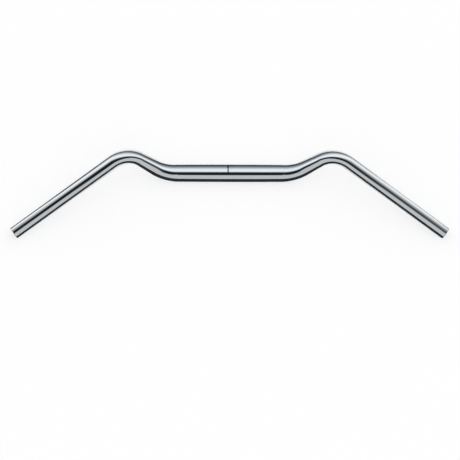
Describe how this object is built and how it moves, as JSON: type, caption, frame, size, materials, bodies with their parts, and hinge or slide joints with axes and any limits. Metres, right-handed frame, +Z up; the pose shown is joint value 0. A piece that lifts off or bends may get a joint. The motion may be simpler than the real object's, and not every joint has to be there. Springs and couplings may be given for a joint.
{
  "type": "bicycle handlebar",
  "caption": "Swept-back riser handlebar: one polished tube, wide at the stem clamp, cranked up and forward, then bent back into straight open grips.",
  "frame": {"origin": "middle of the stem clamp zone, on the tube's axis", "axes": "+X along the stem clamp, towards the right grip; +Y forward, away from the rider; +Z up, with the bar turned in its clamp as it lies on a level surface, on the clamp zone and both grip tips"},
  "size_m": [0.8124, 0.1543, 0.0679],
  "materials": {
    "polished_aluminium": "mirror polished, with fine lengthwise buffing lines"
  },
  "bodies": {
    "root": {"handlebar": "polished_aluminium"}
  },
  "joints": []
}
